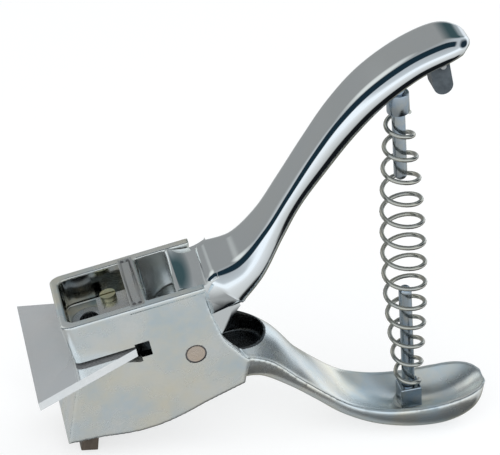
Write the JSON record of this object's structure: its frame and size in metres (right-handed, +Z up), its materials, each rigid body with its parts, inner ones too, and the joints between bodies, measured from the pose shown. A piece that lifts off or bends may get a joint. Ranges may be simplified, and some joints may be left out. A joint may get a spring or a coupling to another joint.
{
  "type": "craft punch",
  "caption": "Plier-type hand punch: a spring-opened lever drives a round punch up through a flared card table into a die under an open chip box.",
  "frame": {"origin": "on the ground under the middle of the tool's box, in its symmetry plane", "axes": "+X from the head to the handles, +Z up as the tool stands on its nose foot and lower handle, +Y across the head"},
  "size_m": [0.133, 0.047, 0.1255],
  "materials": {
    "cast_satin": "satin nickel-chrome plate on a zinc casting",
    "table_plate": "polished chrome plate",
    "dark_screw": "blackened steel",
    "tool_steel": "ground tool steel",
    "bright_steel": "milled steel",
    "yellow_screw": "yellow-passivated steel",
    "bar_steel": "ground steel",
    "foot_rubber": "dark brown rubber",
    "pin_copper": "copper-flashed steel",
    "blue_steel": "bluish zinc plate",
    "cast_mirror": "mirror chrome on a zinc casting",
    "bronze_bush": "sintered bronze",
    "bumper_rubber": "dark slate rubber",
    "rivet_steel": "steel",
    "spring_wire": "dull spring steel"
  },
  "bodies": {
    "frame": {"frame_casting": "cast_satin", "card_table": "table_plate", "table_screws": "dark_screw", "guide_block": "tool_steel", "die_bush": "tool_steel", "die_clamp": "bright_steel", "die_clamp_screw": "yellow_screw", "bridge_bar": "bar_steel", "bridge_pins": "dark_screw", "rest_foot": "foot_rubber", "pivot_pin": "pin_copper", "lower_stud": "blue_steel", "lower_nut": "blue_steel"},
    "lever": {"lever_casting": "cast_mirror", "hub_bush": "bronze_bush", "upper_stud": "blue_steel", "upper_collar": "blue_steel", "stop_bumper": "bumper_rubber", "bumper_rivet": "rivet_steel", "return_spring": "spring_wire"},
    "punch": {"punch": "tool_steel", "drive_pin": "rivet_steel"}
  },
  "joints": [
    {"name": "lever_hinge", "type": "hinge", "parent": "frame", "child": "lever", "pos_m": [-0.02244, 0, 0.03478], "axis": [0, 1, 0], "range_deg": [0, 12], "stiffness_Nm_per_rad": 1.2, "springref_deg": -34.38, "deforming": ["return_spring"]},
    {"name": "punch_slide", "type": "slide", "parent": "frame", "child": "punch", "axis": [-0.3007, 0, 0.9537], "range_m": [0, 0.0053]}
  ],
  "couplings": [
    {"joint": "punch_slide", "follows": "lever_hinge", "m_per_rad": 0.025}
  ]
}
